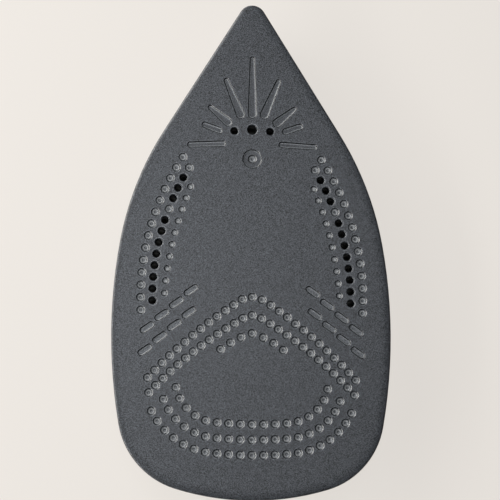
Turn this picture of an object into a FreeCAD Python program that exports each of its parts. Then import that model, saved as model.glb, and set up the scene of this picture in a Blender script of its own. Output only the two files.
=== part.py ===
"""Soleplate of a household steam iron, lying with its ironing face up on its three mounting posts.

Millimetres. X runs across the plate, +Y towards the tip and +Z out of the ironing face. The origin is on the
surface that the posts rest on, under the middle of the plate.
"""

import FreeCAD
import Part
import math
import os

V = FreeCAD.Vector

# Plate outline: tip arc, straight flank, shoulder arc, hip arc, corner arc and heel arc, all tangent
PLATE_LENGTH = 213.2
PLATE_WIDTH = 118.0
PLATE_THICKNESS = 6.0
TIP_RADIUS = 5.9
SHOULDER_RADIUS = 135.8
HIP_RADIUS = 224.0
CORNER_RADIUS = 33.9
HEEL_RADIUS = 109.6
WIDEST_FROM_HEEL = 70.9
SHOULDER_FROM_TIP = 104.1

# Edge of the plate, from its back up to the face: inset from the outline and drop below the face
EDGE_PROFILE = ((0.5, PLATE_THICKNESS), (0.0, 1.2), (0.9, 0.4), (4.0, 0.0))

# Recesses of the ironing face: round dimples and grooves with sloping walls and a flat floor
DIMPLE_RADIUS = 1.7
SMALL_DIMPLE_RADIUS = 1.3
DIMPLE_DEPTH = 0.45
DIMPLE_SIDES = 8
GROOVE_DEPTH = 0.45
GROOVE_END_SIDES = 3
WALL_RUN = 0.4
RING_RADIUS = 4.0
RING_DEPTH = 0.25
RING_SIDES = 16
RING_FROM_TIP = 68.2

# Steam holes
STEAM_RADIUS = 1.55
FRONT_STEAM_RADIUS = 2.05
STEAM_SIDES = 12
FRONT_STEAM_FROM_TIP = 55.4
SIDE_STEAM_FROM_TIP = 56.1
SIDE_STEAM_X = 7.65

# Rows beside the edge, each an arc: first point in from the side and back from the tip, heading, radius
EDGE_ROW = dict(inset=29.39, from_tip=68.03, heading=-57.6, radius=111.4, pitch=5.33, count=14)
STEAM_ROW = dict(inset=32.11, from_tip=72.58, heading=-59.7, radius=109.9, pitch=5.0, count=13)
INNER_ROW = dict(inset=32.70, from_tip=80.85, heading=-67.9, radius=150.6, pitch=5.25, count=10)

# Steam row from the front: D is a dimple, S a steam hole
STEAM_ROW_ORDER = "DSSSDSSSSSSSS"

# Chevron rows across the middle, from the centre line outwards
CHEVRONS = (
    dict(from_heel=85.30, apex_radius=9.7, apex_turn=33.7, limb_radius=207.0, pitch=4.335, count=14),
    dict(from_heel=77.61, apex_radius=6.4, apex_turn=30.3, limb_radius=170.4, pitch=4.225, count=14),
    dict(from_heel=69.91, apex_radius=2.0, apex_turn=18.4, limb_radius=41.2, pitch=4.99, count=4),
)

# Heel rows: three parallel arcs that turn up at a corner
HEEL_ROW_FROM_HEEL = 31.64
HEEL_ROW_SPACING = 6.43
HEEL_ROW_RADIUS = 161.8
HEEL_ROW_ANGLE = 5.63
HEEL_ROW_CORNER = 18.1
HEEL_ROW_PITCH = 4.864
HEEL_ROW_COUNTS = (9, 10, 11)

# Short grooves: two slanting rows on each side
SLOT_LENGTH = 6.6
SLOT_WIDTH = 2.4
SLOT_ANGLE = -35.3
SLOT_ROW_ANGLE = -41.3
SLOT_PITCH = 8.1
SLOTS_IN_ROW = 4
SLOT_ROWS = (dict(inset=33.2, from_heel=87.9), dict(inset=32.4, from_heel=78.4))

# Ray grooves about a hub on the centre line: angle, ends' distances from the hub, ends' radii
RAY_HUB_FROM_TIP = 61.1
RAYS = (
    (90.0, 12.6, 36.9, 1.8, 0.95),
    (67.5, 13.4, 29.4, 1.8, 0.95),
    (40.0, 13.8, 23.6, 1.8, 0.9),
    (20.0, 15.1, 21.7, 1.3, 1.2),
    (-3.0, 12.6, 26.6, 1.15, 1.1),
)

# Heater rib on the back, a U that follows the steam row, and the steam chamber between its legs
RIB_WIDTH = 11.0
RIB_HEIGHT = 8.0
RIB_END_ANGLE = 20.0
NOSE_FROM_TIP = 39.6
NOSE_BEND = 8.5
STEAM_WALL_GAP = 0.8
CHAMBER_TAIL = 5.0
CHAMBER_WALL = 4.0
COVER_THICKNESS = 1.2
COVER_LEDGE = 1.5
COVER_FIT = 0.15
INLET_RADIUS = 4.0
INLET_FROM_TIP = 86.0

# Lugs of the casting that are staked over the cover's rim
LUG_LENGTH = 5.0
LUG_WIDTH = 2.4
LUG_HEIGHT = 0.8
LUG_LAP = 0.9
LUG_ANGLES = (22.0, 4.0)
REAR_LUG_X = (-28.0, 0.0, 28.0)

# Mounting posts and thermostat pad, with holes tapped M4
POST_RADIUS = 4.5
POST_LENGTH = 18.0
FRONT_POST_FROM_TIP = 12.2
REAR_POST_FROM_HEEL = 15.0
REAR_POST_X = 20.0
TAP_RADIUS = 1.65
POST_TAP_DEPTH = 12.0
PAD_LENGTH = 16.0
PAD_WIDTH = 24.0
PAD_HEIGHT = 3.0
PAD_BEHIND_CHAMBER = 11.3
PAD_TAP_DEPTH = 6.0

# Heating tube's ends, which leave the rib's legs and lift away from the face
SHEATH_RADIUS = 3.25
SHEATH_DEPTH = 9.5
SHEATH_ANGLE = 14.0
SHEATH_LENGTH = 8.0
BEAD_RADIUS = 2.6
BEAD_LENGTH = 3.5
TAB_WIDTH = 6.3
TAB_THICKNESS = 0.8
TAB_LENGTH = 9.0
TAB_SEAT_DEPTH = 2.0
TAB_CHAMFER = 1.3
LATCH_HOLE_RADIUS = 0.85
LATCH_HOLE_SIDES = 8
LATCH_HOLE_FROM_TIP = 3.9

# Places worked out from the sizes above
TIP_Y = PLATE_LENGTH / 2
HEEL_Y = -PLATE_LENGTH / 2
SIDE_X = PLATE_WIDTH / 2
WIDEST_Y = HEEL_Y + WIDEST_FROM_HEEL
BACK_Z = POST_LENGTH
FACE_Z = BACK_Z + PLATE_THICKNESS
RIB_Z = BACK_Z - RIB_HEIGHT
RIB_SIDE_RADIUS = STEAM_ROW["radius"] + STEAM_RADIUS + STEAM_WALL_GAP
OVERCUT = 0.5
UP = V(0, 0, 1)


def polar(centre, radius, degrees):
    """Point at an angle and distance from a centre."""
    a = math.radians(degrees)
    return V(centre.x + radius * math.cos(a), centre.y + radius * math.sin(a), centre.z)


def bearing(start, end):
    """Angle in degrees of the line from start to end."""
    return math.degrees(math.atan2(end.y - start.y, end.x - start.x))


def arc(centre, radius, first, last):
    """Arc edge between two angles in degrees."""
    middle = (first + last) / 2
    points = [polar(centre, radius, a) for a in (first, middle, last)]
    return Part.Arc(*points).toShape()


def line(start, end):
    return Part.makeLine(start, end)


def mirrored(shape):
    """The same shape on the other side of the centre line."""
    return shape.mirror(V(0, 0, 0), V(1, 0, 0))


def wire_of(edges):
    return Part.Wire(Part.__sortEdges__(edges))


def face_of(edges):
    return Part.Face(wire_of(edges))


def tangent_normal(small, small_radius, large, large_radius):
    """Angle of the normal of the line that touches two circles on their +X side."""
    reach = large.sub(small).Length
    return bearing(small, large) + math.degrees(math.acos((small_radius - large_radius) / reach))


def meeting(centre_a, radius_a, centre_b, radius_b):
    """Point on the +X side where two circles meet."""
    span = centre_b.sub(centre_a).Length
    along = (radius_a**2 - radius_b**2 + span**2) / (2 * span)
    aside = math.sqrt(radius_a**2 - along**2)
    foot = polar(centre_a, along, bearing(centre_a, centre_b))
    turn = bearing(centre_a, centre_b)
    return max((polar(foot, aside, turn + 90), polar(foot, aside, turn - 90)), key=lambda p: p.x)


def outline(inset, z):
    """The plate's outline at a height, moved inwards by inset."""
    tip = V(0, TIP_Y - TIP_RADIUS, z)
    hip = V(SIDE_X - HIP_RADIUS, WIDEST_Y, z)
    shoulder_rise = TIP_Y - SHOULDER_FROM_TIP - WIDEST_Y
    shoulder_turn = math.degrees(math.asin(shoulder_rise / HIP_RADIUS))
    shoulder = polar(hip, HIP_RADIUS - SHOULDER_RADIUS, shoulder_turn)
    flank = tangent_normal(tip, TIP_RADIUS, shoulder, SHOULDER_RADIUS)
    heel = V(0, HEEL_Y + HEEL_RADIUS, z)
    corner = meeting(hip, HIP_RADIUS - CORNER_RADIUS, heel, HEEL_RADIUS - CORNER_RADIUS)
    corner_start = bearing(hip, corner)
    corner_end = bearing(heel, corner)
    half = [
        line(polar(tip, TIP_RADIUS - inset, flank), polar(shoulder, SHOULDER_RADIUS - inset, flank)),
        arc(shoulder, SHOULDER_RADIUS - inset, flank, shoulder_turn),
        arc(hip, HIP_RADIUS - inset, shoulder_turn, corner_start),
        arc(corner, CORNER_RADIUS - inset, corner_start, corner_end),
    ]
    ends = [
        arc(tip, TIP_RADIUS - inset, 180 - flank, flank),
        arc(heel, HEEL_RADIUS - inset, corner_end, -180 - corner_end),
    ]
    return wire_of(half + [mirrored(e) for e in half] + ends)


def plate():
    """The flat plate: its sides lean in towards the back and its edge rolls off gently towards the face."""
    return Part.makeLoft([outline(inset, FACE_Z - drop) for inset, drop in EDGE_PROFILE], True, True)


def row_points(start, heading, bends, pitch, count):
    """Evenly spaced points along a line of tangent arcs.

    Each bend is a radius, positive to the left, and the turn in degrees after which the next bend takes over.
    """
    points = []
    for i in range(count):
        left = i * pitch
        at, facing = start, heading
        for radius, turn in bends:
            run = min(left, abs(radius) * math.radians(turn))
            swing = math.degrees(run / radius)
            centre = polar(at, radius, facing + 90)
            at = polar(centre, radius, facing + swing - 90)
            facing += swing
            left -= run
        points.append(at)
    return points


def side_row(row):
    """Points of a row beside the edge, on the +X side."""
    start = V(SIDE_X - row["inset"], TIP_Y - row["from_tip"], FACE_Z)
    return row_points(start, row["heading"], ((-row["radius"], 180),), row["pitch"], row["count"])


def steam_row(letter):
    """Points of the steam row that are of one kind."""
    return [p for p, kind in zip(side_row(STEAM_ROW), STEAM_ROW_ORDER) if kind == letter]


def chevron_row(row):
    start = V(0, HEEL_Y + row["from_heel"], FACE_Z)
    bends = ((-row["apex_radius"], row["apex_turn"]), (-row["limb_radius"], 180))
    return row_points(start, 0, bends, row["pitch"], row["count"])


def heel_row(number):
    drop = number * HEEL_ROW_SPACING
    start = V(0, HEEL_Y + HEEL_ROW_FROM_HEEL - drop, FACE_Z)
    bends = ((HEEL_ROW_RADIUS + drop, HEEL_ROW_ANGLE), (HEEL_ROW_CORNER + drop, 180))
    return row_points(start, 0, bends, HEEL_ROW_PITCH, HEEL_ROW_COUNTS[number])


def both_sides(points):
    """Points on the +X side, their mirror images, and once each the points on the centre line."""
    return points + [V(-p.x, p.y, p.z) for p in points if p.x > DIMPLE_RADIUS]


def round_outline(centre, radius, sides):
    """Corners of a round recess or hole."""
    return [polar(centre, radius, 360.0 * (i + 0.5) / sides) for i in range(sides)]


def slot_outline(start, end, start_radius, end_radius):
    """Corners of a long groove with round ends of its own radius at each end."""
    facing = bearing(start, end)
    steps = [180.0 * i / GROOVE_END_SIDES - 90 for i in range(GROOVE_END_SIDES + 1)]
    near = [polar(start, start_radius, facing + 180 + a) for a in steps]
    far = [polar(end, end_radius, facing + a) for a in steps]
    return near + far


def loop(points):
    return Part.makePolygon(points + points[:1])


def recess(corners, depth):
    """Cutter with sloping walls: corners(spread) gives its outline, spread outwards by that much."""
    rise = WALL_RUN * OVERCUT / depth
    top = [p + UP * OVERCUT for p in corners(rise)]
    floor = [p - UP * depth for p in corners(-WALL_RUN)]
    count = len(top)
    walls = [[top[i - 1], top[i], floor[i], floor[i - 1]] for i in range(count)]
    shell = Part.makeShell([Part.Face(loop(points)) for points in walls + [top, floor]])
    shell.sewShape()
    return Part.makeSolid(shell)


def dimple(centre, radius):
    return recess(lambda spread: round_outline(centre, radius + spread, DIMPLE_SIDES), DIMPLE_DEPTH)


def groove(start, end, start_radius, end_radius):
    return recess(
        lambda spread: slot_outline(start, end, start_radius + spread, end_radius + spread), GROOVE_DEPTH
    )


def dimples():
    """Cutters of every dimple and of the ring mark."""
    large = side_row(EDGE_ROW) + steam_row("D")
    for row in CHEVRONS:
        large += chevron_row(row)
    for number in range(len(HEEL_ROW_COUNTS)):
        large += heel_row(number)
    ring = V(0, TIP_Y - RING_FROM_TIP, FACE_Z)
    cutters = [dimple(p, DIMPLE_RADIUS) for p in both_sides(large)]
    cutters += [dimple(p, SMALL_DIMPLE_RADIUS) for p in both_sides(side_row(INNER_ROW))]
    cutters.append(recess(lambda spread: round_outline(ring, RING_RADIUS + spread, RING_SIDES), RING_DEPTH))
    cutters.append(dimple(ring - UP * RING_DEPTH, DIMPLE_RADIUS))
    return cutters


def grooves():
    """Cutters of the short grooves and of the rays."""
    half = []
    reach = SLOT_LENGTH / 2 - SLOT_WIDTH / 2
    for row in SLOT_ROWS:
        first = V(SIDE_X - row["inset"], HEEL_Y + row["from_heel"], FACE_Z)
        for i in range(SLOTS_IN_ROW):
            middle = polar(first, SLOT_PITCH * i, SLOT_ROW_ANGLE)
            ends = [polar(middle, d, SLOT_ANGLE) for d in (-reach, reach)]
            half.append(groove(*ends, SLOT_WIDTH / 2, SLOT_WIDTH / 2))
    hub = V(0, TIP_Y - RAY_HUB_FROM_TIP, FACE_Z)
    rays = [
        groove(polar(hub, inner, angle), polar(hub, outer, angle), inner_radius, outer_radius)
        for angle, inner, outer, inner_radius, outer_radius in RAYS
    ]
    half += rays[1:]
    return half + [mirrored(g) for g in half] + rays[:1]


def steam_holes():
    """Centre and radius of each steam hole, at the face."""
    side = steam_row("S")
    side.append(V(SIDE_STEAM_X, TIP_Y - SIDE_STEAM_FROM_TIP, FACE_Z))
    front = V(0, TIP_Y - FRONT_STEAM_FROM_TIP, FACE_Z)
    return [(p, STEAM_RADIUS) for p in both_sides(side)] + [(front, FRONT_STEAM_RADIUS)]


def steam_drill(centre, radius):
    """Cutter of one steam hole, right through the plate."""
    top = loop(round_outline(centre + UP * OVERCUT, radius, STEAM_SIDES))
    return Part.Face(top).extrude(UP * -(PLATE_THICKNESS + 2 * OVERCUT))


def rib_centres(z):
    """Centres of the rib's side arc on the +X side and of its nose bend."""
    start = V(SIDE_X - STEAM_ROW["inset"], TIP_Y - STEAM_ROW["from_tip"], z)
    side = polar(start, STEAM_ROW["radius"], STEAM_ROW["heading"] - 90)
    return side, V(0, TIP_Y - NOSE_FROM_TIP, z)


def rib_edges(grow, end_turn, z):
    """The rib's inner wall moved outwards by grow: nose arc, flanks and side arcs down to end_turn."""
    side, nose = rib_centres(z)
    flank = tangent_normal(nose, NOSE_BEND, side, RIB_SIDE_RADIUS)
    nose_radius = NOSE_BEND + grow
    side_radius = RIB_SIDE_RADIUS + grow
    half = [
        line(polar(nose, nose_radius, flank), polar(side, side_radius, flank)),
        arc(side, side_radius, flank, end_turn),
    ]
    return half + [mirrored(e) for e in half] + [arc(nose, nose_radius, 180 - flank, flank)]


def rib():
    """The U-shaped rib that holds the heating tube."""
    side, _ = rib_centres(RIB_Z)
    inner_corner = polar(side, RIB_SIDE_RADIUS, -RIB_END_ANGLE)
    end = line(inner_corner, polar(inner_corner, RIB_WIDTH, -RIB_END_ANGLE))
    walls = rib_edges(0, -RIB_END_ANGLE, RIB_Z) + rib_edges(RIB_WIDTH, -RIB_END_ANGLE, RIB_Z)
    return face_of(walls + [end, mirrored(end)]).extrude(UP * RIB_HEIGHT)


def chamber_rear():
    """Y of the steam chamber's rear wall on its chamber side."""
    return side_row(STEAM_ROW)[-1].y - CHAMBER_TAIL


def chamber_face(grow, z):
    """The steam chamber's plan, grown outwards."""
    side, _ = rib_centres(z)
    radius = RIB_SIDE_RADIUS + grow
    rear = chamber_rear() - grow
    end_turn = math.degrees(math.asin((rear - side.y) / radius))
    corner = polar(side, radius, end_turn)
    return face_of(rib_edges(grow, end_turn, z) + [line(corner, V(-corner.x, corner.y, z))])


def chamber_wall():
    """Rear wall of the steam chamber, from leg to leg of the rib."""
    side, _ = rib_centres(RIB_Z)
    reach = side.x + RIB_SIDE_RADIUS
    start = V(-reach, chamber_rear() - CHAMBER_WALL, RIB_Z)
    return Part.makeBox(2 * reach, CHAMBER_WALL, RIB_HEIGHT, start)


def lugs():
    """Lugs that hold the cover's rim: pairs along the rib's sides and a row on the chamber's rear wall."""
    side, _ = rib_centres(RIB_Z - LUG_HEIGHT)
    lap = RIB_SIDE_RADIUS + COVER_LEDGE - LUG_LAP
    blanks = []
    for turn in LUG_ANGLES:
        blank = Part.makeBox(LUG_WIDTH, LUG_LENGTH, LUG_HEIGHT, V(0, -LUG_LENGTH / 2, 0))
        blank.rotate(V(0, 0, 0), UP, turn)
        blank.translate(polar(side, lap, turn))
        blanks += [blank, mirrored(blank)]
    rear = chamber_rear() - COVER_LEDGE + LUG_LAP - LUG_WIDTH
    for x in REAR_LUG_X:
        corner = V(x - LUG_LENGTH / 2, rear, RIB_Z - LUG_HEIGHT)
        blanks.append(Part.makeBox(LUG_LENGTH, LUG_WIDTH, LUG_HEIGHT, corner))
    return blanks


def post_places():
    rear_y = HEEL_Y + REAR_POST_FROM_HEEL
    return [V(0, TIP_Y - FRONT_POST_FROM_TIP, 0), V(REAR_POST_X, rear_y, 0), V(-REAR_POST_X, rear_y, 0)]


def pad_place():
    """Middle of the thermostat pad's seat."""
    front = chamber_rear() - CHAMBER_WALL - PAD_BEHIND_CHAMBER
    return V(0, front - PAD_LENGTH / 2, BACK_Z - PAD_HEIGHT)


def sheath_line():
    """Where the +X sheath's axis leaves the rib, and its direction."""
    side, _ = rib_centres(FACE_Z - SHEATH_DEPTH)
    exit_point = polar(side, RIB_SIDE_RADIUS + RIB_WIDTH / 2, -RIB_END_ANGLE)
    level = polar(V(0, 0, 0), math.cos(math.radians(SHEATH_ANGLE)), -RIB_END_ANGLE - 90)
    return exit_point, level - UP * math.sin(math.radians(SHEATH_ANGLE))


def sheath():
    """The +X end of the heating tube's sheath, from the rib's end face."""
    exit_point, axis = sheath_line()
    start = exit_point - axis * SHEATH_RADIUS
    tube = Part.makeCylinder(SHEATH_RADIUS, SHEATH_RADIUS + SHEATH_LENGTH, start, axis)
    return tube.cut([rib(), plate()])


def soleplate():
    """The casting: coated ironing face, heater rib, steam chamber walls, pad and posts."""
    pad_corner = pad_place() - V(PAD_WIDTH / 2, PAD_LENGTH / 2, 0)
    pad = Part.makeBox(PAD_WIDTH, PAD_LENGTH, PAD_HEIGHT, pad_corner)
    ribs = rib().fuse(chamber_wall())
    ribs = ribs.cut(chamber_face(COVER_LEDGE, RIB_Z).extrude(UP * COVER_THICKNESS))
    posts = [Part.makeCylinder(POST_RADIUS, POST_LENGTH, p) for p in post_places()]
    body = plate().fuse([ribs, pad] + lugs() + posts)
    taps = [Part.makeCylinder(TAP_RADIUS, POST_TAP_DEPTH, p) for p in post_places()]
    taps.append(Part.makeCylinder(TAP_RADIUS, PAD_TAP_DEPTH, pad_place()))
    drills = [steam_drill(*hole) for hole in steam_holes()]
    return body.cut(taps + drills + dimples() + grooves()).removeSplitter()


def steam_chamber_cover():
    """Stamped sheet on the chamber's ledge, with the water inlet."""
    sheet = chamber_face(COVER_LEDGE - COVER_FIT, RIB_Z).extrude(UP * COVER_THICKNESS)
    inlet = V(0, TIP_Y - INLET_FROM_TIP, RIB_Z - OVERCUT)
    return sheet.cut(Part.makeCylinder(INLET_RADIUS, COVER_THICKNESS + 2 * OVERCUT, inlet))


def heater_insulator():
    """Ceramic bead that closes the +X sheath end."""
    exit_point, axis = sheath_line()
    return Part.makeCylinder(BEAD_RADIUS, BEAD_LENGTH, exit_point + axis * SHEATH_LENGTH, axis)


def heater_terminal():
    """Push-on tab that stands in the +X bead, with a chamfered tip and a latch hole."""
    exit_point, axis = sheath_line()
    across = UP.cross(axis).normalize()
    thick = across.cross(axis) * TAB_THICKNESS
    root = exit_point + axis * (SHEATH_LENGTH + BEAD_LENGTH - TAB_SEAT_DEPTH) - thick / 2
    half = TAB_WIDTH / 2
    tip = TAB_SEAT_DEPTH + TAB_LENGTH
    side = [V(half, 0), V(half, tip - TAB_CHAMFER), V(half - TAB_CHAMFER, tip)]
    blade = side + [V(-p.x, p.y) for p in reversed(side)]
    latch = round_outline(V(0, tip - LATCH_HOLE_FROM_TIP), LATCH_HOLE_RADIUS, LATCH_HOLE_SIDES)
    plans = [loop([root + across * p.x + axis * p.y for p in plan]) for plan in (blade, latch)]
    tab, hole = [Part.Face(plan).extrude(thick) for plan in plans]
    return tab.cut(hole)


def pair(shape):
    """A piece and its mirror image, as two separate solids."""
    return Part.makeCompound([shape, mirrored(shape)])


os.makedirs("parts", exist_ok=True)
NODES = {
    "soleplate": soleplate(),
    "steam_chamber_cover": steam_chamber_cover(),
    "heater_ends": pair(sheath()),
    "heater_insulators": pair(heater_insulator().cut(heater_terminal())),
    "heater_terminals": pair(heater_terminal()),
}
for name, shape in NODES.items():
    shape.exportStep("parts/" + name + ".step")
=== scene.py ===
"""Looks of an iron soleplate, lying with its ironing face up.

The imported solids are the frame. One finer piece stands for the casting: it keeps the solid's back and takes
the place and size of every dimple, groove and steam hole from the solid's face. The other nodes keep their
solids.
"""

import math

import bmesh
import bpy
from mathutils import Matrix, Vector
from mathutils.geometry import delaunay_2d_cdt


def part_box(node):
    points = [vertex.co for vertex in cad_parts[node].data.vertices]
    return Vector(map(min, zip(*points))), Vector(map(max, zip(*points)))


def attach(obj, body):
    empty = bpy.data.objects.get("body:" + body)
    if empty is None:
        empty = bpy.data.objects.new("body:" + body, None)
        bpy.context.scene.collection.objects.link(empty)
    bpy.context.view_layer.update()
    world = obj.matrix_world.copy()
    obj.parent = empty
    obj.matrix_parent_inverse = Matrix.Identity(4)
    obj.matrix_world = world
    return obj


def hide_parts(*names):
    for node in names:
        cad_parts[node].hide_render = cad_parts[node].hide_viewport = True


# Lengths in metres: a millimetre, how near counts as level, and how near counts as one point
MM = 0.001
NEAR = 0.01 * MM
SAME_POINT = 0.001 * MM

# Camera: a long lens nearly over the plate, in millimetres and degrees
CAMERA_AT = (-78.81, -165.22, 908.39)
CAMERA_TURN = (10.5, -4.963, 1.0365)
CAMERA_LENS = 153.76
CAMERA_SHIFT = (-0.001, 0.001)

# Studio, in metres and watts: lamps, sky and paper floor, with how much of the paper shows at its own colour
KEY_LAMP = dict(at=(-0.4, 0.42, 0.36), size=(0.5, 0.3), power=3.6, colour="#fffdfa")
SIDE_LAMP = dict(at=(-0.58, -0.08, 0.34), size=(1.1, 0.1), power=5.8, colour="#fffdfa")
TOP_LAMP = dict(at=(-0.02, 0.16, 1.2), size=(0.3, 0.3), power=1.6, colour="#f4f8ff")
SKY_COLOUR = "#f4f5f8"
SKY_STRENGTH = 0.08
PAPER_COLOUR = "#eae5df"
PAPER_HALF = 3.0
PAPER_SHOWN = 0.85

# Plate's thickness, and its edge from the side up to the face: inset from the outline and drop below the face
PLATE_THICKNESS = 6.0
EDGE_PROFILE = (
    (0.0, 1.2),
    (0.04, 0.85),
    (0.16, 0.55),
    (0.4, 0.35),
    (0.9, 0.22),
    (1.7, 0.12),
    (2.8, 0.03),
    (4.0, 0.0),
)

# A large dimple's radius, and the walls of a dimple and of a groove or the ring mark, from the rim down:
# spread of the outline and drop below the face
DIMPLE_RADIUS = 1.7
DIMPLE_PROFILE = (
    (0.34, 0.0),
    (0.21, 0.0),
    (0.15, 0.03),
    (0.0, 0.15),
    (-0.15, 0.265),
    (-0.24, 0.3),
    (-0.36, 0.315),
    (-0.46, 0.32),
)
GROOVE_PROFILE = (
    (0.34, 0.0),
    (0.27, 0.0),
    (0.21, 0.03),
    (0.08, 0.21),
    (-0.06, 0.31),
    (-0.2, 0.375),
    (-0.34, 0.42),
    (-0.44, 0.44),
    (-0.56, 0.45),
)

# A dimple's floor, a shallow bowl: share of the floor's radius and depth below the wall's foot
BOWL_PROFILE = ((0.9, 0.04), (0.75, 0.095), (0.6, 0.15), (0.45, 0.19), (0.3, 0.215), (0.1, 0.23))

# Rings round recesses and holes: flat margin, counts of sides, and a hole's rounded rim
GUARD = 0.1
ROUND_SIDES = 32
GROOVE_END_SIDES = 12
HOLE_SIDES_EACH = 3
HOLE_RIM = 0.52
HOLE_RIM_DEPTH = 0.36
HOLE_RIM_STEPS = 5

# Coat by depth below the face, in millimetres: even on the face and, paler, on slot floors. In dimples,
# grooves and holes a pale rim is a painted highlight and darker walls are painted shade, darkest down the
# holes; dimples and grooves are pale again below
FACE_TONES = ((0.0, "#565a60"), (1.0, "#565a60"))
SLOT_FLOOR_TONES = ((0.0, "#72777d"), (1.0, "#72777d"))
# Dimples: pale rim is a painted highlight and dark wall is painted shade, then a pale ring and a darker
# middle in the bowl
DIMPLE_TONES_WITH_PAINTED_LIGHT = (
    (0.005, "#777c81"),
    (0.03, "#131517"),
    (0.25, "#25282b"),
    (0.32, "#6f7377"),
    (0.4, "#a2a5a8"),
    (0.455, "#a2a5a8"),
    (0.51, "#4e5256"),
)
# Grooves and the ring mark's step: pale rim is a painted highlight, dark walls are painted shade, pale below
GROOVE_TONES_WITH_PAINTED_LIGHT = ((0.005, "#777c81"), (0.03, "#0e0f11"), (0.31, "#191b1d"), (0.4, "#868a8e"))
# Holes: pale rim is a painted highlight, and the darkening further down the hole is painted shade
HOLE_TONES_WITH_PAINTED_LIGHT = ((0.005, "#6c7075"), (0.03, "#4a4e53"), (0.36, "#4a4e53"), (0.5, "#2e3135"))

# Finish of the coat: its darkest fleck, roughness on dark and on light flecks, and strength of its grain
FACE_FINISH = ("#1e1e1e", 0.32, 0.44, 0.2)
RECESS_FINISH = ("#b0b0b0", 0.17, 0.24, 0.06)

# Sizes of patterns and heights of relief, in millimetres. Real flecks and rolling lines are about 0.1 mm
# across, too fine to show, and are drawn more than twice as large
FLECK_SIZE = 0.28
FLECK_RELIEF = 0.04
FLOW_MARK_SIZE = 9.0
CASTING_GRAIN_SIZE = 0.5
CASTING_GRAIN_RELIEF = 0.06
ROLLING_LINE_SIZE = 0.4
HEAT_TINT_SIZE = 5.0
MOTTLE_SIZE = 0.8
CLOUD_SIZE = 0.6

# Sheet: its rolling lines run along the plate, and a face that looks up further than this is its steam side
ROLLING_STRETCH = (1.0, 0.02, 1.0)
STEAM_SIDE_LIMIT = 0.5

# Sockets of a Mix node, which has several of one name: share, first and second colour, and the mixed colour
MIX_SHARE, MIX_FIRST, MIX_SECOND, MIXED = 0, 6, 7, 2

# Limits of marks on the solid's face: unevenness of round ones, reach of a dimple and a slot, slope of a hole
ROUND_LIMIT = 1.1
DIMPLE_LIMIT = 3.0
SLOT_LIMIT = 4.0
UPRIGHT_LIMIT = 0.1

# Mesh: settings of the face's triangles, and the least angle of an edge that stays sharp
INSIDE_ONLY = 1
MERGE_WITHIN = 1e-6
SHARP_ANGLE = 35.0

# Order of the casting's materials
ON_FACE, ON_SLOT_FLOORS, IN_DIMPLES, IN_GROOVES, IN_RING_MARK, IN_HOLES, BARE = range(7)

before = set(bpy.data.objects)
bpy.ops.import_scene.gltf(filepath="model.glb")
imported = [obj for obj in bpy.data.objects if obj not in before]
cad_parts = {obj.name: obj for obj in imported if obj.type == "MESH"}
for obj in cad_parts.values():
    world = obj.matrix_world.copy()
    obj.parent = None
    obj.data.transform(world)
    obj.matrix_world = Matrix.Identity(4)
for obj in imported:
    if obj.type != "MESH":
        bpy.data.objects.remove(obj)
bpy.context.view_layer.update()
scene = bpy.context.scene
scene.view_settings.view_transform = "Standard"
FACE_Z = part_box("soleplate")[1].z


def linear(code):
    """Linear colour of an sRGB hex code."""
    parts = [int(code[i : i + 2], 16) / 255 for i in (1, 3, 5)]
    return [p / 12.92 if p <= 0.04045 else ((p + 0.055) / 1.055) ** 2.4 for p in parts] + [1.0]


def node(tree, kind, inputs=(), stops=(), **settings):
    """Adds a shader node with its settings and colour stops, and links or sets its inputs."""
    made = tree.nodes.new("ShaderNode" + kind)
    for name, value in settings.items():
        setattr(made, name, value)
    for _ in stops[2:]:
        made.color_ramp.elements.new(1.0)
    for i, (place, code) in enumerate(stops):
        made.color_ramp.elements[i].position = place
        made.color_ramp.elements[i].color = linear(code)
    for name, value in dict(inputs).items():
        if isinstance(value, bpy.types.NodeSocket):
            tree.links.new(value, made.inputs[name])
        else:
            made.inputs[name].default_value = value
    return made


def per(size):
    """Texture scale at which one feature is this many millimetres across."""
    return 1 / (size * MM)


def material(name):
    """An empty material and its node tree."""
    made = bpy.data.materials.new(name)
    made.use_nodes = True
    made.node_tree.nodes.clear()
    return made, made.node_tree


def nonstick_coat(name, tones, finish):
    """Sprayed and baked fluoropolymer: dark satin grey with mineral flecks, with a tone for each depth that
    in recesses holds painted shade and painted highlights.
    """
    made, tree = material(name)
    place = node(tree, "TexCoord").outputs["Object"]
    height = node(tree, "SeparateXYZ", {"Vector": place}).outputs["Z"]
    depth = node(tree, "MapRange", {"Value": height, "From Min": FACE_Z, "From Max": FACE_Z - MM})
    # Tone by depth: in recesses painted shade on the walls and painted highlights on the rims
    tone = node(tree, "ValToRGB", {"Fac": depth.outputs["Result"]}, stops=tones)
    darkest, smooth, dull, grain = finish
    flecks = node(tree, "TexNoise", {"Vector": place, "Scale": per(FLECK_SIZE), "Detail": 1.0})
    fleck = node(tree, "ValToRGB", {"Fac": flecks.outputs["Fac"]}, stops=((0.45, darkest), (0.55, "#ffffff")))
    base = node(
        tree,
        "Mix",
        {MIX_SHARE: 1.0, MIX_FIRST: tone.outputs["Color"], MIX_SECOND: fleck.outputs["Color"]},
        data_type="RGBA",
        blend_type="MULTIPLY",
    )
    rough = node(tree, "MapRange", {"Value": flecks.outputs["Fac"], "To Min": smooth, "To Max": dull})
    bump = node(
        tree,
        "Bump",
        {"Height": flecks.outputs["Fac"], "Strength": grain, "Distance": FLECK_RELIEF * MM},
    )
    shader = node(
        tree,
        "BsdfPrincipled",
        {
            "Base Color": base.outputs[MIXED],
            "Roughness": rough.outputs["Result"],
            "IOR": 1.55,
            "Normal": bump.outputs["Normal"],
        },
    )
    node(tree, "OutputMaterial", {"Surface": shader.outputs["BSDF"]})
    return made


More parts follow.
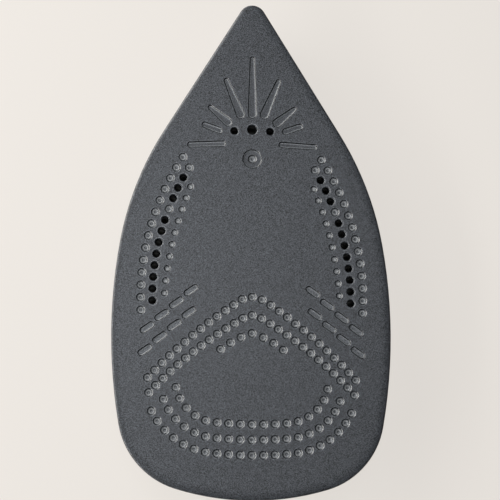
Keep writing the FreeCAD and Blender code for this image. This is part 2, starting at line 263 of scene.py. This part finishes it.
def cast_aluminium():
    """Die-cast aluminium as it leaves the tool: pale grey, matt, with flow marks and a fine grain."""
    made, tree = material("die_cast_aluminium")
    place = node(tree, "TexCoord").outputs["Object"]
    flow = node(
        tree,
        "TexNoise",
        {"Vector": place, "Scale": per(FLOW_MARK_SIZE), "Detail": 4.0, "Distortion": 0.8},
    )
    grain = node(tree, "TexNoise", {"Vector": place, "Scale": per(CASTING_GRAIN_SIZE), "Detail": 2.0})
    tone = node(
        tree,
        "ValToRGB",
        {"Fac": flow.outputs["Fac"]},
        stops=((0.3, "#9fa1a2"), (0.55, "#b3b4b4"), (0.75, "#c0c1c0")),
    )
    rough = node(tree, "MapRange", {"Value": flow.outputs["Fac"], "To Min": 0.42, "To Max": 0.6})
    bump = node(
        tree,
        "Bump",
        {"Height": grain.outputs["Fac"], "Strength": 0.3, "Distance": CASTING_GRAIN_RELIEF * MM},
    )
    shader = node(
        tree,
        "BsdfPrincipled",
        {
            "Base Color": tone.outputs["Color"],
            "Metallic": 1.0,
            "Roughness": rough.outputs["Result"],
            "Normal": bump.outputs["Normal"],
        },
    )
    node(tree, "OutputMaterial", {"Surface": shader.outputs["BSDF"]})
    return made


def rolled_sheet():
    """Stamped aluminium sheet: bright, with faint rolling lines, and a pale matt coat on its steam side."""
    made, tree = material("rolled_aluminium_sheet")
    place = node(tree, "TexCoord").outputs["Object"]
    along = node(tree, "Mapping", {"Vector": place, "Scale": ROLLING_STRETCH})
    lines = node(
        tree,
        "TexNoise",
        {"Vector": along.outputs["Vector"], "Scale": per(ROLLING_LINE_SIZE), "Detail": 3.0},
    )
    tone = node(
        tree, "ValToRGB", {"Fac": lines.outputs["Fac"]}, stops=((0.3, "#b7b8b8"), (0.7, "#cccdcc"))
    )
    rough = node(tree, "MapRange", {"Value": lines.outputs["Fac"], "To Min": 0.3, "To Max": 0.45})
    metal = node(
        tree,
        "BsdfPrincipled",
        {"Base Color": tone.outputs["Color"], "Metallic": 1.0, "Roughness": rough.outputs["Result"]},
    )
    coat = node(tree, "BsdfPrincipled", {"Base Color": linear("#b4b2ac"), "Roughness": 0.9})
    facing = node(tree, "SeparateXYZ", {"Vector": node(tree, "NewGeometry").outputs["True Normal"]})
    inside = node(
        tree, "Math", {0: facing.outputs["Z"], 1: STEAM_SIDE_LIMIT}, operation="GREATER_THAN"
    )
    shader = node(tree, "MixShader", {0: inside.outputs[0], 1: metal.outputs[0], 2: coat.outputs[0]})
    node(tree, "OutputMaterial", {"Surface": shader.outputs["Shader"]})
    return made


def drawn_steel():
    """Drawn steel tube after heat: dull, with brown and straw tints."""
    made, tree = material("drawn_steel_tube")
    place = node(tree, "TexCoord").outputs["Object"]
    tint = node(tree, "TexNoise", {"Vector": place, "Scale": per(HEAT_TINT_SIZE), "Detail": 3.0})
    tone = node(
        tree,
        "ValToRGB",
        {"Fac": tint.outputs["Fac"]},
        stops=((0.3, "#7d756c"), (0.5, "#91897d"), (0.7, "#a0937d")),
    )
    rough = node(tree, "MapRange", {"Value": tint.outputs["Fac"], "To Min": 0.35, "To Max": 0.5})
    shader = node(
        tree,
        "BsdfPrincipled",
        {"Base Color": tone.outputs["Color"], "Metallic": 1.0, "Roughness": rough.outputs["Result"]},
    )
    node(tree, "OutputMaterial", {"Surface": shader.outputs["BSDF"]})
    return made


def bead_ceramic():
    """Pressed steatite bead: off-white, unglazed, with a faint mottle."""
    made, tree = material("unglazed_steatite")
    place = node(tree, "TexCoord").outputs["Object"]
    mottle = node(tree, "TexNoise", {"Vector": place, "Scale": per(MOTTLE_SIZE), "Detail": 3.0})
    tone = node(
        tree, "ValToRGB", {"Fac": mottle.outputs["Fac"]}, stops=((0.3, "#d6cfc0"), (0.7, "#e6e0d3"))
    )
    shader = node(
        tree, "BsdfPrincipled", {"Base Color": tone.outputs["Color"], "Roughness": 0.65, "IOR": 1.6}
    )
    node(tree, "OutputMaterial", {"Surface": shader.outputs["BSDF"]})
    return made


def nickel_plate():
    """Nickel-plated steel strip: warm silver, with a faint cloudy sheen."""
    made, tree = material("nickel_plated_strip")
    place = node(tree, "TexCoord").outputs["Object"]
    cloud = node(tree, "TexNoise", {"Vector": place, "Scale": per(CLOUD_SIZE), "Detail": 3.0})
    tone = node(
        tree, "ValToRGB", {"Fac": cloud.outputs["Fac"]}, stops=((0.3, "#b5b0a6"), (0.7, "#c6c2b8"))
    )
    rough = node(tree, "MapRange", {"Value": cloud.outputs["Fac"], "To Min": 0.22, "To Max": 0.36})
    shader = node(
        tree,
        "BsdfPrincipled",
        {"Base Color": tone.outputs["Color"], "Metallic": 1.0, "Roughness": rough.outputs["Result"]},
    )
    node(tree, "OutputMaterial", {"Surface": shader.outputs["BSDF"]})
    return made


def studio_paper():
    """Matt studio paper, seen and mirrored mostly at its own colour, with the part's shadow."""
    made, tree = material("studio_paper")
    ray = node(tree, "LightPath").outputs
    mirrored = node(
        tree, "Math", {0: ray["Is Glossy Ray"], 1: ray["Is Transmission Ray"]}, operation="MAXIMUM"
    )
    seen = node(tree, "Math", {0: ray["Is Camera Ray"], 1: mirrored.outputs[0]}, operation="MAXIMUM")
    share = node(tree, "Math", {0: seen.outputs[0], 1: PAPER_SHOWN}, operation="MULTIPLY")
    paper = node(tree, "BsdfDiffuse", {"Color": linear(PAPER_COLOUR)})
    shown = node(tree, "Emission", {"Color": linear(PAPER_COLOUR), "Strength": 1.0})
    shader = node(tree, "MixShader", {0: share.outputs[0], 1: paper.outputs[0], 2: shown.outputs[0]})
    node(tree, "OutputMaterial", {"Surface": shader.outputs["Shader"]})
    return made


def closed_loops(edges):
    """Vertices along these edges, as closed loops."""
    beside = {}
    for edge in edges:
        first, second = edge.verts
        beside.setdefault(first, []).append(second)
        beside.setdefault(second, []).append(first)
    loops = []
    while beside:
        at = next(iter(beside))
        loop = []
        while at:
            loop.append(at)
            ahead = beside.pop(at)
            at = next((v for v in ahead if v in beside), None)
        loops.append(loop)
    return loops


def flat(vert):
    """A vertex's place as seen from above."""
    return vert.co.to_2d()


def middle(points):
    """The mean of some points."""
    return sum(points, Vector((0.0, 0.0))) / len(points)


def circle(centre, radius, sides, first=0.0):
    """Points round a circle, from an angle in radians."""
    turns = [first + math.tau * i / sides for i in range(sides)]
    return [centre + radius * Vector((math.cos(a), math.sin(a))) for a in turns]


def capsule(start, end, start_radius, end_radius):
    """Points round a long groove whose ends have their own radius."""
    facing = math.atan2(end.y - start.y, end.x - start.x)
    points = []
    for centre, radius, turn in ((start, start_radius, math.pi / 2), (end, end_radius, -math.pi / 2)):
        for i in range(GROOVE_END_SIDES + 1):
            a = facing + turn + math.pi * i / GROOVE_END_SIDES
            points.append(centre + radius * Vector((math.cos(a), math.sin(a))))
    return points


def groove_ends(points):
    """Centres and radii of a groove's two ends, from the corners at the ends of its two long sides."""
    count = len(points)
    sides = sorted(range(count), key=lambda i: (points[(i + 1) % count] - points[i]).length)[-2:]
    first, second = sorted(sides)
    near = (points[first], points[(second + 1) % count])
    far = (points[(first + 1) % count], points[second])
    ends = [middle(pair) for pair in (near, far)]
    radii = [(b - a).length / 2 for a, b in (near, far)]
    return (*ends, *radii)


def inset_loop(points, distance):
    """A closed outline moved inwards."""
    area = sum(a.cross(b) for a, b in zip(points, points[1:] + points[:1]))
    side = math.copysign(1.0, area)
    moved = []
    for i, point in enumerate(points):
        before = (point - points[i - 1]).normalized()
        after = (points[(i + 1) % len(points)] - point).normalized()
        along = (before + after).normalized()
        inwards = Vector((-along.y, along.x)) * side
        moved.append(point + inwards * (distance / along.dot(after)))
    return moved


def add_ring(bm, points, z):
    """New vertices at these points, all at one height."""
    return [bm.verts.new((p.x, p.y, z)) for p in points]


def bridge(bm, upper, lower):
    """Quads between two rings of the same count."""
    count = len(upper)
    for i in range(count):
        j = (i + 1) % count
        bm.faces.new((upper[i], upper[j], lower[j], lower[i]))


def sink_wall(bm, outline, profile, top):
    """Soft rim and wall of a recess, from its outline at each spread. Returns its outer and lowest rings."""
    rings = [add_ring(bm, outline(spread * MM), top - drop * MM) for spread, drop in profile]
    for upper, lower in zip(rings, rings[1:]):
        bridge(bm, upper, lower)
    return rings[0], rings[-1]


def dimple(bm, centre, radius, top):
    """A round recess with a bowl for a floor, equally steep at any size. Returns its outer ring."""
    outer, above = sink_wall(
        bm, lambda spread: circle(centre, radius + spread, ROUND_SIDES), DIMPLE_PROFILE, top
    )
    spread, drop = DIMPLE_PROFILE[-1]
    floor = radius + spread * MM
    scale = floor / ((DIMPLE_RADIUS + spread) * MM)
    for share, deeper in BOWL_PROFILE:
        ring = add_ring(bm, circle(centre, share * floor, ROUND_SIDES), top - (drop + scale * deeper) * MM)
        bridge(bm, above, ring)
        above = ring
    bm.faces.new(above)
    return outer


def ring_mark(bm, centre, radius):
    """Wall of a round step and the dimple in it. Returns the step's outer ring and its floor's two rings."""
    outer, foot = sink_wall(
        bm, lambda spread: circle(centre, radius + spread, ROUND_SIDES), GROOVE_PROFILE, FACE_Z
    )
    return outer, foot, dimple(bm, centre, DIMPLE_RADIUS * MM, foot[0].co.z)


def groove(bm, points):
    """Walls of a long recess. Returns its outer ring and the outline of its flat floor."""
    start, end, near, far = groove_ends(points)
    return sink_wall(
        bm, lambda spread: capsule(start, end, near + spread, far + spread), GROOVE_PROFILE, FACE_Z
    )


def steam_hole(bm, centre, radius, hole_ends):
    """A hole with a rounded rim, from the face to the corners of its lower end. Returns its outer ring."""
    lower = min(hole_ends, key=lambda loop: (middle([flat(v) for v in loop]) - centre).length)
    lower = sorted(lower, key=lambda v: math.atan2(v.co.y - centre.y, v.co.x - centre.x))
    first = math.atan2(lower[0].co.y - centre.y, lower[0].co.x - centre.x)
    sides = len(lower) * HOLE_SIDES_EACH
    rim = HOLE_RIM * MM
    levels = [(radius + rim + GUARD * MM, 0.0)]
    for i in range(HOLE_RIM_STEPS + 1):
        turn = math.pi / 2 * i / HOLE_RIM_STEPS
        levels.append((radius + rim * (1 - math.sin(turn)), HOLE_RIM_DEPTH * MM * (1 - math.cos(turn))))
    rings = [add_ring(bm, circle(centre, r, sides, first), FACE_Z - drop) for r, drop in levels]
    for upper, under in zip(rings, rings[1:]):
        bridge(bm, upper, under)
    # Each side of the lower end meets three sides of the rim
    last = rings[-1]
    for k, corner in enumerate(lower):
        following = lower[(k + 1) % len(lower)]
        run = [last[(k * HOLE_SIDES_EACH + i) % sides] for i in range(HOLE_SIDES_EACH + 1)]
        bm.faces.new((corner, run[0], run[1]))
        bm.faces.new((corner, run[1], run[2], following))
        bm.faces.new((following, run[2], run[3]))
    return rings[0]


def plate_edge(bm, outline):
    """The plate's side and its edge, from the back outline up to the face. Returns the innermost ring."""
    points = [flat(v) for v in outline]
    back_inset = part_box("soleplate")[1].x - max(p.x for p in points)
    lower = outline
    for inset, drop in EDGE_PROFILE:
        ring = add_ring(bm, inset_loop(points, inset * MM - back_inset), FACE_Z - drop * MM)
        bridge(bm, ring, lower)
        lower = ring
    margin = (EDGE_PROFILE[-1][0] + GUARD) * MM
    ring = add_ring(bm, inset_loop(points, margin - back_inset), FACE_Z)
    bridge(bm, ring, lower)
    return ring


def fill_face(bm, outer, rings):
    """The flat face between the outer ring and the rings of its recesses and holes."""
    verts, edges, owner = [], [], []
    for number, ring in enumerate([outer] + rings):
        first = len(verts)
        count = len(ring)
        edges += [(first + i, first + (i + 1) % count) for i in range(count)]
        verts += ring
        owner += [number] * count
    points = [flat(v) / MM for v in verts]
    _, _, triangles, sources, _, _ = delaunay_2d_cdt(points, edges, [], INSIDE_ONLY, MERGE_WITHIN)
    for corners in triangles:
        ids = [sources[c][0] for c in corners]
        owners = {owner[i] for i in ids}
        # A triangle whose corners are all on one recess lies inside it and is left out
        if owners == {0} or len(owners) > 1:
            bm.faces.new([verts[i] for i in ids])


def face_faces(bm):
    """The flat faces of the ironing face."""
    return {f for f in bm.faces if min(v.co.z for v in f.verts) > FACE_Z - NEAR}


def upper_faces(bm, start, back):
    """All that is joined to the ironing face above the plate's back."""
    found = set(start)
    todo = list(start)
    while todo:
        for edge in todo.pop().edges:
            for other in edge.link_faces:
                if other not in found and max(v.co.z for v in other.verts) > back + NEAR:
                    found.add(other)
                    todo.append(other)
    return found


def face_marks(bm, face):
    """Outline of each recess and hole of the face, with whether its walls go straight down."""
    rims = [e for e in bm.edges if sum(f in face for f in e.link_faces) == 1]
    walls = {}
    for edge in rims:
        for wall in edge.link_faces:
            if wall not in face:
                walls[edge.verts[0]] = wall
    marks = []
    for loop in closed_loops(rims):
        wall = next(walls[v] for v in loop if v in walls)
        marks.append(([flat(v) for v in loop], abs(wall.normal.z) < UPRIGHT_LIMIT))
    # The plate's own outline reaches furthest, and is no mark
    marks.sort(key=lambda mark: max(p.y for p in mark[0]))
    return marks[:-1]


def sorted_marks(marks):
    """Outline, centre and radius of the dimples, the ring mark, the slots, the rays and the steam holes."""
    kinds = {name: [] for name in ("dimple", "ring", "slot", "ray", "hole")}
    for points, is_hole in marks:
        centre = middle(points)
        reach = [(p - centre).length for p in points]
        longest = max(reach)
        if is_hole:
            kind = "hole"
        elif longest > ROUND_LIMIT * min(reach):
            kind = "ray" if longest > SLOT_LIMIT * MM else "slot"
        elif longest > DIMPLE_LIMIT * MM:
            kind = "ring"
        else:
            kind = "dimple"
        kinds[kind].append((points, centre, longest))
    return kinds


def paint(bm, number):
    """Gives a material to the faces that have none yet, which are still flat shaded."""
    for face in bm.faces:
        if not face.smooth:
            face.smooth = True
            face.material_index = number


def sharpen(bm):
    """Keeps sharp edges sharp in the smooth shading."""
    for edge in bm.edges:
        if edge.is_manifold and edge.calc_face_angle() > math.radians(SHARP_ANGLE):
            edge.smooth = False


def bare_back(bm):
    """Takes the face and sides away. Returns the face's marks, the back's outline and the holes' ends."""
    bmesh.ops.remove_doubles(bm, verts=bm.verts, dist=SAME_POINT)
    bm.normal_update()
    ironing_face = face_faces(bm)
    marks = sorted_marks(face_marks(bm, ironing_face))
    upper = upper_faces(bm, ironing_face, FACE_Z - PLATE_THICKNESS * MM)
    bmesh.ops.delete(bm, geom=list(upper), context="FACES")
    # Flat shading marks the faces that have no material yet
    for face in bm.faces:
        face.smooth = False
    loops = closed_loops([e for e in bm.edges if e.is_boundary])
    outline = max(loops, key=len)
    return marks, outline, [loop for loop in loops if loop is not outline]


def pattern(bm, marks, hole_ends):
    """All recesses and holes of the ironing face, with their coats. Returns the ring round each."""
    rings = [dimple(bm, centre, radius, FACE_Z) for _, centre, radius in marks["dimple"]]
    paint(bm, IN_DIMPLES)
    steps = [ring_mark(bm, centre, radius) for _, centre, radius in marks["ring"]]
    paint(bm, IN_RING_MARK)
    slots = [groove(bm, points) for points, _, _ in marks["slot"]]
    rays = [groove(bm, points) for points, _, _ in marks["ray"]]
    paint(bm, IN_GROOVES)
    holes = [steam_hole(bm, centre, radius, hole_ends) for _, centre, radius in marks["hole"]]
    paint(bm, IN_HOLES)
    for _, floor in slots:
        bm.faces.new(floor)
    paint(bm, ON_SLOT_FLOORS)
    for _, floor in rays:
        bm.faces.new(floor)
    for _, foot, inner in steps:
        bridge(bm, foot, inner)
    return rings + [made[0] for made in steps + slots + rays] + holes


def casting_materials():
    """The coat on each part of the face, and the bare metal of the back, in their order."""
    step = GROOVE_PROFILE[-1][1]
    # The ring mark's tones: its step's, then its dimple's below the step, with the same painted shade on
    # walls and painted highlights on rims
    ring_tones_with_painted_light = GROOVE_TONES_WITH_PAINTED_LIGHT + tuple((step + depth, tone) for depth, tone in DIMPLE_TONES_WITH_PAINTED_LIGHT[1:])
    return (
        nonstick_coat("nonstick_coat_on_face", FACE_TONES, FACE_FINISH),
        nonstick_coat("nonstick_coat_on_slot_floors", SLOT_FLOOR_TONES, FACE_FINISH),
        nonstick_coat("nonstick_coat_in_dimples", DIMPLE_TONES_WITH_PAINTED_LIGHT, RECESS_FINISH),
        nonstick_coat("nonstick_coat_on_groove_walls", GROOVE_TONES_WITH_PAINTED_LIGHT, RECESS_FINISH),
        nonstick_coat("nonstick_coat_in_ring_mark", ring_tones_with_painted_light, RECESS_FINISH),
        nonstick_coat("nonstick_coat_in_steam_holes", HOLE_TONES_WITH_PAINTED_LIGHT, RECESS_FINISH),
        cast_aluminium(),
    )


def casting():
    """The plate with its pattern and soft edge, on the solid's own back."""
    bm = bmesh.new()
    bm.from_mesh(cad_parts["soleplate"].data)
    marks, outline, hole_ends = bare_back(bm)
    paint(bm, BARE)
    rings = pattern(bm, marks, hole_ends)
    fill_face(bm, plate_edge(bm, outline), rings)
    paint(bm, ON_FACE)
    bmesh.ops.recalc_face_normals(bm, faces=bm.faces)
    sharpen(bm)
    mesh = bpy.data.meshes.new("soleplate_casting")
    bm.to_mesh(mesh)
    bm.free()
    for made in casting_materials():
        mesh.materials.append(made)
    piece = bpy.data.objects.new("soleplate_casting", mesh)
    scene.collection.objects.link(piece)
    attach(piece, "root")
    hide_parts("soleplate")


def dress(name, made):
    """Gives a node's own solid a material."""
    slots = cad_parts[name].data.materials
    slots.clear()
    slots.append(made)


def area_lamp(name, at, size, power, colour):
    """A soft lamp, its size given across and up, that faces the middle of the part."""
    lamp = bpy.data.lights.new(name, "AREA")
    lamp.shape = "RECTANGLE"
    lamp.size, lamp.size_y = size
    lamp.energy = power
    lamp.color = linear(colour)[:3]
    made = bpy.data.objects.new(name, lamp)
    made.location = at
    made.rotation_euler = (-Vector(at)).to_track_quat("-Z", "Y").to_euler()
    scene.collection.objects.link(made)


def studio():
    """Pale paper floor, two low lamps on the left, a soft lamp overhead and an even sky."""
    mesh = bpy.data.meshes.new("paper_floor")
    corners = [(x * PAPER_HALF, y * PAPER_HALF, 0) for x, y in ((-1, -1), (1, -1), (1, 1), (-1, 1))]
    mesh.from_pydata(corners, [], [(0, 1, 2, 3)])
    mesh.materials.append(studio_paper())
    floor = bpy.data.objects.new("paper_floor", mesh)
    scene.collection.objects.link(floor)
    area_lamp("key_lamp", **KEY_LAMP)
    area_lamp("side_lamp", **SIDE_LAMP)
    area_lamp("top_lamp", **TOP_LAMP)
    world = bpy.data.worlds.new("studio_sky")
    world.use_nodes = True
    sky = world.node_tree.nodes["Background"]
    sky.inputs["Color"].default_value = linear(SKY_COLOUR)
    sky.inputs["Strength"].default_value = SKY_STRENGTH
    scene.world = world


def camera():
    """A long lens on the photograph's line of sight."""
    lens = bpy.data.cameras.new("camera")
    lens.lens = CAMERA_LENS
    lens.shift_x, lens.shift_y = CAMERA_SHIFT
    made = bpy.data.objects.new("camera", lens)
    made.location = Vector(CAMERA_AT) * MM
    made.rotation_mode = "ZYX"
    made.rotation_euler = [math.radians(a) for a in CAMERA_TURN]
    scene.collection.objects.link(made)
    scene.camera = made


casting()
dress("steam_chamber_cover", rolled_sheet())
dress("heater_ends", drawn_steel())
dress("heater_insulators", bead_ceramic())
dress("heater_terminals", nickel_plate())
studio()
camera()
